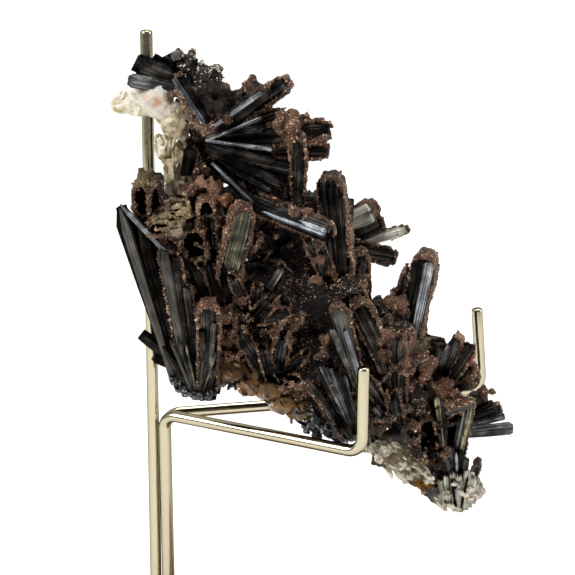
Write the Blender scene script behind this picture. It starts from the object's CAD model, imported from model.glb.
import math

import bmesh
import bpy
import numpy as np
from bpy.props import FloatProperty, FloatVectorProperty, IntProperty, PointerProperty
from mathutils import Matrix, Vector


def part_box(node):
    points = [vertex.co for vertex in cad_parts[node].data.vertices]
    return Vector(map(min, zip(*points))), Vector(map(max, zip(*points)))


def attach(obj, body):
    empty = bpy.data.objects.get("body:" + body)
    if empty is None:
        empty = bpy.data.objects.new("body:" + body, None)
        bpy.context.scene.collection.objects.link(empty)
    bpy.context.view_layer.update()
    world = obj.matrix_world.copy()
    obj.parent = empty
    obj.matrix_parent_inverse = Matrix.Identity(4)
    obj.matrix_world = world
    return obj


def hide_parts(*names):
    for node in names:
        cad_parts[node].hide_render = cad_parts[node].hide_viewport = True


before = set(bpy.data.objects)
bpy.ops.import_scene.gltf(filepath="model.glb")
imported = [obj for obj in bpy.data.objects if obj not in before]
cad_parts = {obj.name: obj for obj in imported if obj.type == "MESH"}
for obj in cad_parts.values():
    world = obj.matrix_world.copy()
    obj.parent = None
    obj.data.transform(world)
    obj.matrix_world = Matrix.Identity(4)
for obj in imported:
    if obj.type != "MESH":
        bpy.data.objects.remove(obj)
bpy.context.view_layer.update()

bl_info = {
    "name": "Stibnite with baryte on a wire stand",
    "version": (1, 0, 0),
    "blender": (4, 5, 0),
    "location": "3D View > Sidebar > Specimen",
    "description": "Builds the mineral specimen, its wire stand and a pale studio",
    "category": "Add Mesh",
}

# Sizes are in metres. MM turns the millimetres that a maker would measure into metres.
MM = 0.001
# How far two places may lie apart and still count as one, on a master of size 1
NEAR = 1e-4

# The photograph's view: its pitch, its distance and height, and its focal length in pixels
VIEW_PITCH = math.radians(17)
VIEW_DISTANCE = 266
VIEW_HEIGHT = 76
VIEW_FOCUS = 1600
VIEW_MIDDLE = 287.5
FRAME_PIXELS = 575
SENSOR_WIDTH = 36


def seen(across, down, depth):
    """The point that the photograph shows at this pixel, at this depth along Y in mm."""
    cos, sin = math.cos(VIEW_PITCH), math.sin(VIEW_PITCH)
    rise = (VIEW_MIDDLE - down) / VIEW_FOCUS
    up = (rise * (VIEW_DISTANCE + depth * cos) - depth * sin) / (cos + rise * sin)
    away = VIEW_DISTANCE + depth * cos - up * sin
    return Vector(((across - VIEW_MIDDLE) / VIEW_FOCUS * away, depth, VIEW_HEIGHT + up)) * MM


def blade(foot, tip, wide, thick, turn=0, end="step", crust=0.0, over=0.0, rims=(1, 1),
          finish="grooved", hollow=False):
    """One crystal: its two ends as seen, its width and thickness in mm, and its crust.

    The rims say how much of the crust sits on its left and on its right side, tip upwards.
    Where it is hollow, only the crust is left, as an open cast.
    """
    return {
        "foot": seen(*foot), "tip": seen(*tip), "wide": wide * MM, "thick": thick * MM,
        "turn": math.radians(turn), "end": end, "crust": crust * MM, "over": over * MM,
        "rims": rims, "finish": f"{finish}_stibnite", "hollow": hollow,
    }


# Every cluster of intergrown blades, by the name of the solid that it stands for
CLUSTERS = {
    "crown_plates": [
        blade((184, 84, -3), (135, 63, -5), 3.2, 2.4, turn=-25, end="plates"),
        blade((176, 88, -4), (128, 80, -6), 2.2, 1.8, turn=10, end="blunt", finish="bright"),
        blade((184, 82, -2), (151, 60, -2), 3.0, 1.6, end="plates"),
        blade((185, 84, -3), (168, 54, -2), 2.6, 1.6, turn=20, end="plates"),
        blade((187, 84, -4), (181, 54, -3), 2.4, 1.6, turn=-15, end="step"),
        blade((186, 86, -3), (197, 60, -4), 2.4, 1.8, crust=0.4),
        blade((182, 86, -3), (221, 73, -4), 2.4, 2.0, crust=0.4, end="blunt"),
        blade((178, 90, -2), (215, 94, -2), 2.4, 2.0),
    ],
    "crown_blade": [
        blade((179, 78, -9), (210, 127, -12), 1.9, 1.7, turn=-22, end="blunt", crust=1.0, over=0.3,
              rims=(0, 1.4)),
        blade((174, 79, -10), (203, 124, -12.8), 0.9, 0.8, turn=-10, end="blunt",
              finish="silver"),
    ],
    "upper_fan": [
        blade((203, 141, -4), (272, 88, -6), 2.4, 1.8, turn=12, crust=0.5, rims=(1, 0), end="chisel"),
        blade((214, 126, -6), (262, 92, -7.6), 0.9, 0.8, turn=20, end="chisel", finish="silver"),
        blade((208, 140, -3), (288, 81, -4), 2.3, 2.0, crust=0.6, over=0.3, end="blunt"),
        blade((206, 142, -3), (286, 113, -4), 2.4, 1.9, crust=0.4, rims=(1, 0.5)),
        blade((206, 146, -4), (331, 130, -6), 3.1, 2.6, turn=-12, crust=0.8, rims=(1.2, 0.4),
              end="chisel"),
        blade((208, 148, -4), (327, 151, -4), 2.4, 2.0, crust=0.6, over=0.2, end="blunt"),
        blade((206, 141, -6), (272, 150, -9), 0.8, 0.8, turn=-20, end="chisel", finish="silver"),
        blade((206, 138, -5), (266, 128, -8), 1.6, 1.2, turn=-10),
        blade((206, 144, -5), (276, 162, -8), 1.5, 1.1, turn=15),
        blade((206, 148, -5), (296, 170, -8), 2.2, 1.4, turn=10),
        blade((206, 150, -5), (284, 186, -9), 2.0, 1.4, turn=25),
        blade((212, 156, -6), (270, 192, -9.6), 0.9, 0.8, turn=-15, finish="bright"),
        blade((210, 140, -6), (262, 118, -8.6), 0.7, 0.7, turn=-15, finish="bright"),
        blade((206, 150, -6), (262, 176, -10), 1.4, 1.0, end="point"),
        blade((187, 174, -7.8), (191, 148, -9), 2.2, 1.3, turn=-20, end="blunt", finish="black"),
    ],
    "fan_needle": [
        blade((208, 160, -7), (262, 211, -11), 1.3, 1.2, turn=40, end="chisel"),
        blade((212, 163, -9), (254, 203, -12), 0.6, 0.6, turn=20, end="point", finish="silver"),
    ],
    "back_fan": [
        blade((210, 146, -1), (262, 108, 3), 2.4, 1.6, turn=70),
        blade((210, 148, 0), (290, 136, 4), 2.8, 1.8, turn=80, end="chisel"),
        blade((210, 150, 0), (284, 172, 5), 2.6, 1.6, turn=100),
        blade((211, 146, 0), (228, 94, 3), 2.2, 1.6, turn=60, crust=0.7, over=0.3),
    ],
    "left_bundle": [
        blade((228, 318, -9), (176, 250, -11.6), 1.0, 0.8, turn=-10, end="point", finish="black"),
        blade((222, 330, -9), (192, 264, -11), 1.6, 1.1, crust=0.3, rims=(0, 1), finish="black"),
        blade((224, 322, -9), (208, 264, -10.8), 1.8, 1.2, turn=15, crust=0.3, finish="black"),
        blade((226, 300, -9.4), (222, 262, -11), 1.2, 1.0, finish="black"),
        blade((184, 388, -6), (121, 206, -10), 3.0, 3.0, turn=-42, end="chisel", finish="black"),
        blade((175, 384, -8.4), (120, 208, -11.6), 1.7, 0.8, turn=-34, end="point", finish="satin"),
        blade((187, 392, -8), (138, 216, -11), 2.4, 1.8, turn=-12, end="point", finish="black"),
        blade((196, 398, -9.4), (163, 346, -11), 1.6, 1.0, turn=-30, end="point"),
        blade((195, 398, -10), (170, 340, -12), 0.6, 0.6, turn=15, end="point", finish="satin"),
        blade((197, 398, -10), (178, 336, -12.6), 0.9, 0.8, turn=15, end="point"),
        blade((198, 399, -10.2), (186, 344, -13), 0.5, 0.5, turn=-15, end="point",
              finish="tarnished"),
        blade((200, 399, -10.2), (223, 356, -12), 1.6, 1.0, turn=15, end="point"),
        blade((200, 399, -10.4), (216, 352, -13), 0.5, 0.5, turn=15, end="point",
              finish="tarnished"),
        blade((199, 399, -10.2), (203, 360, -13.6), 0.5, 0.5, turn=15, end="point",
              finish="satin"),
        blade((168, 254, -12.6), (120, 204, -11.6), 0.9, 0.8, turn=-18, end="point",
              finish="silver"),
        blade((192, 393, -9), (164, 250, -13), 1.9, 1.7, turn=-24, end="chisel", crust=0.4,
              rims=(1, 0), finish="satin"),
        blade((197, 394, -9), (174, 254, -12.6), 1.6, 1.5, turn=12, end="step", crust=0.4,
              rims=(0, 1)),
        blade((202, 395, -9), (186, 286, -12.4), 1.5, 1.3, crust=0.5, rims=(0, 1)),
        blade((205, 396, -9), (194, 322, -12), 1.3, 1.1, turn=-20),
        blade((208, 397, -9), (208, 304, -14), 3.2, 2.6, end="plates", crust=0.5, over=0.2,
              rims=(0.4, 1)),
        blade((209, 397, -10), (214, 322, -14.6), 0.9, 0.8, turn=-14, finish="bright"),
        blade((204, 397, -10), (202, 330, -14.4), 0.9, 0.8, turn=16),
        blade((216, 392, -8), (225, 318, -9), 1.8, 1.8, crust=0.8, over=0.2),
        blade((194, 390, -6), (146, 250, -4), 3.0, 2.0, turn=60, end="chisel"),
        blade((202, 392, -6), (182, 262, -3), 3.0, 2.2, turn=100),
        blade((208, 388, -6), (214, 300, -2), 2.6, 2.0, turn=80),
    ],
    "left_stubs": [
        blade((184, 366, -4), (141, 334, -4.5), 2.1, 1.5, end="plates"),
        blade((184, 368, -4), (153, 355, -4), 2.2, 1.8, end="blunt"),
    ],
    "striped_blade": [
        blade((222, 300, -8), (244, 209, -13), 3.4, 2.2, turn=14, end="blunt", crust=0.75, over=0.5,
              finish="tarnished"),
    ],
    "level_blade": [
        blade((246, 200, -8), (331, 234, -15), 2.7, 2.4, turn=-30, end="blunt", crust=0.7,
              rims=(1.2, 0)),
        blade((256, 208, -10), (326, 234, -16), 1.5, 0.9, turn=-22, end="blunt",
              finish="silver"),
    ],
    "post_blade": [
        blade((298, 200, -6), (298, 138, -9), 2.0, 1.8, end="blunt", crust=0.7, over=0.4),
    ],
    "tall_blade": [
        blade((343, 305, -5), (330, 177, -7), 4.4, 3.0, turn=-12, end="blunt", crust=0.6, over=0.4,
              rims=(0.25, 1)),
        blade((345, 300, -6.6), (338, 196, -8.4), 1.5, 0.6, turn=-8, end="blunt"),
        blade((346, 305, -4), (318, 244, -9), 1.4, 1.4, crust=0.5),
        blade((340, 306, -5), (308, 238, -9), 1.8, 1.6, crust=0.6, rims=(0.6, 1)),
        blade((356, 318, -5), (346, 262, -6), 1.6, 1.4, crust=0.7, over=0.2),
    ],
    "cavity_spray": [
        blade((252, 316, -8), (282, 268, -12), 1.3, 1.2, finish="bright"),
        blade((252, 318, -8), (232, 276, -11), 1.6, 1.3, crust=0.3),
        blade((254, 320, -8), (274, 296, -12), 2.6, 1.9, crust=0.4),
        blade((254, 320, -8), (290, 312, -12), 2.0, 1.6, crust=0.4),
        blade((253, 318, -8), (258, 284, -12.5), 1.6, 1.2, crust=0.2),
    ],
    "lower_spray": [
        blade((272, 386, -8), (238, 330, -11), 2.2, 1.6, crust=0.4),
        blade((274, 386, -8), (284, 334, -13), 2.4, 1.9, crust=0.4),
        blade((274, 388, -8), (262, 346, -13), 1.8, 1.5, crust=0.4),
        blade((274, 388, -8), (306, 352, -12), 1.8, 1.4, crust=0.3),
    ],
    "cast_wall": [
        blade((214, 262, -7), (210, 200, -10), 2.2, 1.4, turn=-30, crust=0.7, over=0.3, end="blunt"),
    ],
    "back_spray": [
        blade((290, 260, 0), (262, 200, 6), 3.6, 2.4, turn=90, end="chisel", crust=0.3),
        blade((292, 262, 0), (324, 196, 6), 3.4, 2.4, turn=70, crust=0.3),
        blade((292, 262, 0), (358, 242, 8), 3.0, 2.0, turn=80, end="blunt"),
        blade((290, 264, 0), (232, 262, 6), 3.0, 2.2, turn=95, end="chisel"),
        blade((292, 266, 0), (316, 318, 7), 2.6, 2.0, turn=85),
    ],
    "wing_block": [
        blade((334, 242, 1), (381, 222, 3), 3.4, 2.6, turn=15, end="blunt", crust=0.6, over=0.2,
              rims=(1, 0)),
        blade((334, 228, 1), (372, 208, 2), 2.6, 2.6, turn=-10, end="blunt", crust=1.1, over=0.8,
              rims=(1, 0.6), finish="fibrous"),
        blade((334, 233, 0), (374, 217, 0), 1.6, 1.4, turn=-14, end="blunt", finish="fibrous"),
        blade((336, 250, 1), (408, 229, 3), 1.8, 1.4, turn=-15, end="chisel", crust=0.3, over=0.2,
              rims=(0.5, 0), finish="fibrous"),
        blade((334, 246, 0), (395, 257, 0), 2.6, 2.2, end="blunt", crust=0.6, over=0.2),
    ],
    "wing_stub": [
        blade((362, 308, -3), (361, 252, -4), 2.2, 1.8, crust=0.7, over=0.2),
    ],
    "wing_blade": [
        blade((406, 352, -3), (426, 254, -5), 3.7, 2.8, turn=-16, end="blunt", crust=0.9,
              over=0.2, rims=(0.2, 0.9)),
        blade((411, 350, -4.6), (430, 262, -6.6), 1.7, 0.9, turn=-6, end="blunt",
              finish="silver"),
        blade((402, 352, -3), (410, 268, -4), 2.6, 2.0, turn=-18, crust=0.7, rims=(1, 0)),
        blade((402, 352, -3), (398, 292, -5), 2.2, 1.8, crust=0.7),
    ],
    "grey_blade": [
        blade((357, 384, -12), (337, 308, -14.5), 2.7, 1.8, turn=8, end="blunt", crust=0.6,
              over=0.3, rims=(0, 1), finish="satin"),
        blade((360, 380, -13), (345, 330, -15.2), 1.0, 0.8, turn=8, end="chisel",
              finish="silver"),
        blade((354, 384, -12.4), (331, 328, -15.5), 1.0, 0.9, turn=10, finish="bright"),
    ],
    "rim_blade": [
        blade((404, 398, -8), (357, 303, -10), 3.1, 2.2, turn=-10, crust=0.9, over=0.3, rims=(0.2, 1),
              end="blunt"),
        blade((400, 398, -8), (352, 284, -7), 2.4, 2.0, crust=0.7, over=0.2, rims=(0.4, 1)),
    ],
    "needle_bank": [
        blade((354, 438, -12), (316, 366, -14), 1.0, 0.9, end="point"),
        blade((356, 438, -12), (325, 366, -14.5), 1.0, 0.9, end="step", finish="bright"),
        blade((358, 438, -12), (334, 370, -14.5), 1.0, 0.9, end="point"),
        blade((360, 436, -12), (343, 374, -14.2), 1.0, 0.9, end="step", finish="bright"),
        blade((351, 438, -12), (300, 372, -14), 1.2, 1.0, end="step", crust=0.4, rims=(1, 0)),
        blade((355, 438, -12.6), (320, 366, -14.8), 0.6, 0.6, end="step", finish="bright"),
        blade((357, 438, -12.6), (330, 368, -15), 0.6, 0.6, end="step", finish="bright"),
        blade((359, 438, -12.6), (339, 372, -15), 0.6, 0.6, end="step"),
    ],
    "skirt_stubs": [
        blade((398, 424, -9), (398, 334, -10), 2.6, 2.1, crust=0.4),
        blade((396, 426, -9), (366, 378, -12.5), 1.9, 1.6, crust=0.3),
        blade((398, 428, -9), (372, 406, -13), 1.8, 1.2, turn=20, finish="bright"),
        blade((398, 428, -9.4), (392, 394, -13), 2.2, 1.7, crust=0.4),
    ],
    "right_fan": [
        blade((430, 394, -4), (444, 344, -6), 2.6, 1.6, turn=10, end="plates", finish="satin"),
        blade((431, 395, -4.4), (449, 344, -7), 0.9, 0.8, turn=-10, finish="bright"),
        blade((432, 395, -4), (459, 337, -6), 2.4, 1.6, turn=-10, crust=0.5, over=0.2, rims=(0, 0.3)),
        blade((434, 396, -4), (471, 345, -6), 2.4, 2.0, turn=10, crust=0.7, rims=(0, 1), end="blunt"),
        blade((434, 398, -3), (473, 366, -4), 2.2, 1.8, crust=0.6, over=0.3),
        blade((428, 396, -4), (414, 356, -9), 2.1, 1.9, crust=0.8, over=0.4),
        blade((436, 398, -4), (476, 380, -6), 1.2, 1.0, crust=0.4),
    ],
    "tail_fan": [
        blade((446, 426, -4), (483, 396, -4), 2.5, 2.0, turn=20, end="blunt", crust=0.6, over=0.3,
              rims=(1, 0.3), finish="satin"),
        blade((446, 428, -4), (500, 408, -4), 2.8, 2.4, turn=-8, end="blunt", crust=0.4, over=0.2,
              rims=(0.8, 0), finish="bright"),
        blade((446, 434, -4), (513, 428, -4), 2.0, 1.8, turn=15, end="blunt", finish="bright"),
        blade((448, 432, -4.8), (511, 424, -6), 0.9, 0.8, turn=-14, end="blunt", finish="silver"),
        blade((446, 430, -4.4), (505, 416, -6), 1.3, 1.0, turn=-14, end="blunt", finish="bright"),
        blade((446, 428, -4.4), (493, 402, -6), 1.0, 0.9, turn=20, end="blunt", finish="black"),
        blade((446, 429, -3), (476, 400, 3), 3.0, 2.0, turn=90),
    ],
    "tip_blades": [
        blade((444, 466, -7.6), (436, 397, -9.8), 1.0, 0.8, turn=15, end="blunt",
              finish="tarnished"),
        blade((446, 470, -7.6), (443, 402, -9), 0.8, 0.7, turn=-15, end="chisel"),
        blade((455, 480, -7), (471, 404, -8.4), 1.4, 1.2, turn=10, crust=0.4, over=0.3,
              rims=(0, 0.7), finish="tarnished"),
        blade((453, 478, -7), (465, 410, -9), 0.8, 0.7, turn=-15, finish="bright"),
        blade((451, 478, -7), (459, 416, -8.6), 0.7, 0.6, turn=15, end="point"),
        blade((446, 413, -9), (474, 404, -10), 1.0, 0.8, turn=25, end="blunt", crust=0.3, rims=(1, 0),
              finish="satin"),
        blade((457, 503, -7), (439, 452, -9), 1.1, 1.0, turn=-20, end="chisel"),
        blade((457, 503, -7), (445, 454, -9.4), 0.8, 0.8, turn=20, end="point", finish="satin"),
        blade((458, 503, -7), (451, 446, -9.2), 1.1, 0.9, turn=-15, end="step"),
        blade((458, 503, -7), (456, 452, -9.8), 0.6, 0.6, turn=15, end="point", finish="silver"),
        blade((459, 503, -7), (461, 450, -9.2), 1.1, 0.9, turn=15, end="chisel"),
        blade((460, 503, -7), (467, 458, -9), 1.0, 0.9, turn=-15, end="step", finish="satin"),
        blade((462, 502, -6), (477, 466, -7), 1.2, 1.0, crust=0.6, over=0.4),
        blade((444, 499, -7.8), (440, 479, -8.8), 1.0, 0.8, turn=15, finish="fibrous"),
        blade((449, 505, -7.6), (446, 475, -9.2), 1.0, 0.8, turn=-12, finish="fibrous"),
        blade((455, 510, -7.6), (452, 472, -9.4), 1.2, 0.9, turn=12, finish="fibrous"),
        blade((460, 511, -7.6), (459, 474, -9.6), 1.3, 0.9, turn=-12, finish="fibrous"),
        blade((465, 509, -7.6), (467, 470, -9.6), 1.5, 0.9, turn=14, end="chisel",
              finish="fibrous"),
        blade((469, 506, -7.6), (474, 476, -9.2), 1.3, 0.9, turn=-14, finish="fibrous"),
        blade((473, 502, -7.4), (480, 484, -8.6), 1.2, 0.9, turn=-15, end="blunt",
              finish="fibrous"),
        blade((450, 497, -8.8), (463, 481, -10.2), 0.5, 0.4, turn=12, end="point",
              finish="silver"),
        blade((456, 508, -8.4), (451, 478, -10.2), 0.4, 0.4, turn=12, end="point",
              finish="black"),
        blade((461, 508, -8.4), (468, 476, -10.4), 0.4, 0.4, turn=12, end="point",
              finish="black"),
    ],
    "tip_cross_blade": [
        blade((436, 444, -6), (410, 428, -11), 1.8, 1.2, turn=-30),
    ],
}

# In the tables below a place is a pixel across, a pixel down and a depth in mm, as for seen().
# Hollows in the rock: a place and half sizes in mm (across, deep, high)
HOLLOWS = [
    ((282, 250, -8), (5.0, 5.0, 3.8)), ((262, 234, -9), (3.6, 4.0, 3.0)),
    ((252, 346, -11), (1.9, 3.0, 2.6)), ((284, 356, -11), (2.4, 3.4, 2.6)),
    ((236, 174, -7), (4.4, 3.4, 2.0)), ((424, 428, -8), (1.9, 4.0, 4.0)),
    ((322, 336, -11), (2.4, 3.0, 2.4)), ((386, 372, -11), (2.2, 3.0, 2.4)),
    ((148, 198, -10), (2.0, 4.4, 2.7)), ((187, 212, -10), (1.9, 3.6, 1.5)),
    ((163, 230, -11), (2.0, 3.4, 1.2)), ((193, 240, -9.5), (2.4, 4.0, 2.4)),
    ((213, 206, -10), (1.8, 3.6, 1.9)), ((214, 240, -9.5), (1.7, 3.8, 3.0)),
    ((226, 284, -9), (1.6, 3.6, 2.0)), ((262, 166, -6), (4.0, 3.0, 2.0)),
    ((330, 262, -8), (2.0, 4.0, 4.0)), ((230, 210, -9), (1.6, 3.0, 2.0)),
]

# Casts left open where a blade has dissolved out of its crust
CASTS = [
    blade((143, 214, -9), (141, 183, -10), 2.1, 1.2, turn=-8, crust=0.5, over=0.4, hollow=True),
    blade((156, 214, -9), (157, 184, -10), 1.9, 1.2, turn=8, crust=0.5, over=0.4, hollow=True),
    blade((165, 215, -10.5), (188, 212, -11.5), 2.1, 1.2, turn=10, crust=0.6, over=0.3, hollow=True),
    blade((149, 231, -11.4), (174, 228, -12.4), 1.9, 1.2, turn=-10, crust=0.7, over=0.3, hollow=True),
    blade((194, 258, -9.4), (192, 229, -10.4), 4.2, 1.2, turn=4, crust=0.4, over=0.3, hollow=True),
    blade((206, 214, -10.5), (206, 198, -11.5), 2.6, 1.2, turn=6, crust=0.4, over=0.3, hollow=True),
    blade((232, 340, -9), (226, 312, -11), 2.4, 1.2, turn=-10, crust=0.5, over=0.4, hollow=True),
    blade((404, 368, -8), (398, 332, -9), 2.4, 1.2, turn=10, crust=0.5, over=0.4, hollow=True),
    blade((428, 454, -8), (426, 418, -9.5), 3.0, 1.2, crust=0.3, over=0.3, rims=(0.5, 0.2), hollow=True),
    blade((453, 446, -6.6), (456, 410, -8), 3.2, 1.2, crust=0.3, over=0.3, rims=(0.2, 0.2), hollow=True),
]

# Pale broken rock along the lower ridge and at the tip: place and half sizes in mm
RIDGE = [
    ((372, 443, -10.5), (1.9, 1.3, 0.8)), ((381, 449, -10.5), (2.2, 1.4, 0.9)),
    ((391, 446, -10.8), (1.9, 1.3, 0.8)), ((391, 457, -10.2), (2.2, 1.4, 0.9)),
    ((400, 464, -10), (2.3, 1.4, 0.9)), ((402, 452, -10.8), (2.0, 1.1, 0.8)),
    ((410, 462, -10.4), (2.0, 1.1, 0.9)), ((409, 472, -9.4), (2.2, 1.3, 0.9)),
    ((419, 470, -9.4), (1.8, 1.1, 0.8)), ((428, 480, -8.8), (1.4, 1.1, 0.8)),
    ((384, 459, -10.4), (1.8, 1.3, 0.8)), ((396, 470, -9.8), (1.9, 1.3, 0.8)),
    ((404, 476, -9.4), (1.8, 1.3, 0.8)), ((376, 451, -10.6), (1.8, 1.3, 0.8)),
    ((388, 451, -11), (1.6, 1.1, 0.9)), ((399, 459, -10.8), (1.6, 1.1, 0.9)),
    ((446, 503, -7.8), (2.0, 1.3, 1.0)), ((472, 498, -7.8), (1.5, 1.3, 1.1)),
    ((479, 488, -7.6), (1.2, 1.2, 1.3)), ((472, 480, -8), (1.2, 1.0, 1.2)),
    ((467, 492, -9.6), (1.0, 0.7, 0.9)), ((456, 484, -9.8), (0.9, 0.6, 0.7)),
    ((477, 494, -8.4), (1.1, 0.9, 0.9)), ((448, 492, -9), (0.9, 0.7, 0.8)),
]

# Black glassy crystals along the underside: place and half sizes in mm
UNDERSIDE = [
    ((298, 417, -10.6), (1.7, 1.2, 0.9)), ((309, 425, -10.8), (1.8, 1.2, 0.9)),
    ((320, 431, -10.8), (1.8, 1.2, 0.9)), ((331, 436, -10.8), (1.7, 1.2, 0.9)),
    ((342, 440, -10.8), (1.6, 1.2, 0.8)), ((304, 412, -11.8), (1.6, 1.1, 0.9)),
    ((316, 420, -12), (1.6, 1.1, 0.9)), ((328, 426, -11.8), (1.6, 1.1, 0.9)),
    ((340, 432, -11.6), (1.6, 1.1, 0.9)), ((350, 438, -11.2), (1.4, 1.1, 0.8)),
    ((224, 385, -9), (1.3, 1.0, 0.7)), ((235, 385, -9.4), (1.2, 1.0, 0.6)),
    ((247, 392, -9.8), (1.1, 1.0, 0.5)), ((175, 379, -9.4), (1.2, 1.1, 0.9)),
    ((181, 386, -9.8), (1.3, 1.1, 0.9)), ((189, 392, -10.4), (1.5, 1.1, 0.9)),
    ((199, 396, -10.8), (1.6, 1.1, 0.8)), ((209, 394, -10.6), (1.4, 1.1, 0.8)),
]

# Knobs of crust between the blades: a place and a radius in mm
KNOBS = [
    ((203, 74, -4.5), 1.5), ((216, 69, -4), 1.0), ((190, 60, -3.5), 1.2), ((176, 56, -3.5), 1.0),
    ((213, 92, -5), 1.4), ((205, 104, -6), 1.5), ((384, 340, -9), 1.6), ((392, 328, -8), 1.3),
    ((406, 336, -9), 1.5), ((412, 348, -8.5), 1.4), ((398, 350, -9.5), 1.5), ((420, 362, -9), 1.7),
    ((408, 366, -10), 1.5), ((432, 364, -8), 1.5), ((426, 374, -9), 1.2), ((396, 366, -10), 1.2),
    ((383, 356, -10), 1.3), ((477, 461, -7.5), 0.8), ((446, 384, -8), 1.2), ((458, 393, -8.6), 0.9),
    ((436, 390, -8.5), 1.0), ((443, 395, -8.8), 0.9), ((466, 398, -8.6), 0.9), ((473, 405, -8.4), 0.8),
    ((470, 376, -5), 1.4), ((483, 392, -4.5), 1.1), ((412, 424, -10.5), 1.3), ((404, 408, -10.5), 1.2),
    ((408, 438, -10.5), 1.2), ((224, 326, -9.5), 1.2), ((222, 344, -9.5), 1.3), ((224, 362, -9), 1.3),
    ((222, 378, -8.6), 1.2), ((318, 246, -10), 0.8), ((317, 262, -10), 0.9), ((318, 280, -10), 0.9),
    ((288, 322, -11.5), 1.5), ((300, 316, -11.5), 1.1), ((276, 328, -11), 1.0), ((232, 330, -10), 1.2),
    ((240, 300, -10), 1.1), ((236, 316, -10), 1.0), ((186, 193, -10.5), 0.9), ((193, 187, -10.8), 1.0),
    ((201, 184, -11), 1.0), ((209, 185, -11), 1.0), ((217, 189, -11), 1.0), ((223, 196, -11), 1.0),
    ((227, 204, -11), 0.9), ((198, 188, -8), 1.6), ((214, 192, -8), 1.6), ((181, 236, -11), 0.7),
    ((207, 247, -11), 0.7), ((185, 254, -11), 0.8), ((203, 230, -11), 0.6), ((196, 244, -10.6), 0.5),
    ((212, 201, -12), 0.4), ((282, 120, -7), 1.5), ((294, 118, -7), 1.5), ((306, 119, -7), 1.0),
    ((284, 132, -7.5), 1.2), ((276, 206, -10), 1.1), ((292, 211, -12), 1.1), ((308, 216, -13), 1.1),
    ((252, 84, -5.5), 1.2), ((240, 92, -5), 1.2), ((374, 318, -8), 1.2), ((366, 336, -9), 1.1),
    ((330, 340, -12), 1.2), ((322, 352, -12.5), 1.1), ((340, 392, -12), 1.3), ((352, 398, -12), 1.2),
    ((300, 392, -11.5), 1.3), ((286, 384, -11), 1.1), ((133, 206, -10), 0.8), ((178, 256, -10.5), 1.2),
    ((184, 272, -10.6), 1.2), ((190, 288, -10.4), 1.2), ((204, 256, -8.5), 1.3), ((176, 258, -7), 2.4),
    ((186, 274, -7), 2.4), ((194, 292, -7), 2.4), ((166, 244, -8), 2.0), ((204, 276, -7.5), 2.2),
    ((206, 300, -7.5), 2.0), ((158, 236, -7), 2.4), ((191, 261, -7), 2.6), ((209, 288, -6.5), 2.6),
    ((378, 427, -8), 2.6), ((200, 134, -3), 2.0), ((186, 70, -4.5), 1.6), ((173, 247, -8), 2.6),
    ((296, 127, -8.5), 1.6), ((394, 312, -6), 2.0), ((384, 322, -7), 1.8), ((380, 305, -4), 1.6),
    ((388, 352, -9), 1.6), ((402, 384, -9.5), 1.6), ((414, 388, -9), 1.4), ((450, 392, -8.8), 0.9),
    ((385, 429, -8.5), 2.0), ((375, 431, -8.5), 1.8), ((142, 176, -9.6), 0.9), ((150, 173, -9), 0.8),
    ((158, 177, -9), 0.9), ((232, 191, -6.4), 2.4), ((144, 221, -8), 1.4), ((197, 166, -8.4), 1.0),
    ((192, 177, -8.8), 1.0), ((183, 187, -9.2), 0.9), ((178, 178, -9), 0.6), ((204, 170, -8.4), 0.9),
    ((184, 144, -8), 0.6), ((212, 101, -4), 2.4), ((226, 105, -4), 2.2), ((239, 99, -4.4), 2.0),
    ((221, 92, -4), 1.8), ((207, 92, -4), 2.0), ((246, 91, -4.6), 1.4), ((288, 396, -9.4), 1.6),
    ((175, 98, -6), 1.1), ((186, 132, -5.6), 1.1), ((424, 408, -9.4), 1.0), ((419, 414, -9.6), 0.8),
    ((172, 238, -11.5), 0.9), ((150, 226, -11), 0.9), ((200, 224, -10.5), 0.9),
]

# The lumps of baryte, by solid: a place and half sizes in mm (across, deep, high)
BARYTE = {
    "baryte_cap": [
        ((143, 101, -4.4), (5.2, 3.4, 3.2)),
        ((158, 96, -4.8), (2.8, 2.4, 2.6)),
        ((164, 111, -5.0), (3.5, 2.6, 2.3)),
        ((124, 102, -3.8), (2.6, 2.2, 2.1)),
    ],
    "baryte_neck": [
        ((174, 118, -5.6), (3.2, 2.0, 1.6)),
        ((176, 130, -5), (2.8, 2.4, 2.6)),
        ((166, 146, -5.5), (2.2, 2.2, 2.8)),
        ((178, 156, -5.2), (2.4, 2.2, 2.6)),
        ((172, 172, -6), (2.3, 2.2, 3.0)),
        ((180, 188, -6.4), (2.6, 2.2, 2.2)),
    ],
    "baryte_foot": [
        ((234, 372, -9), (2.8, 2.2, 2.4)),
        ((250, 384, -9.6), (3.0, 2.2, 2.2)),
        ((268, 394, -10.4), (3.2, 2.2, 1.9)),
        ((282, 406, -11), (2.8, 2.0, 1.6)),
        ((298, 412, -11.4), (2.4, 2.0, 1.6)),
    ],
}

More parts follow.
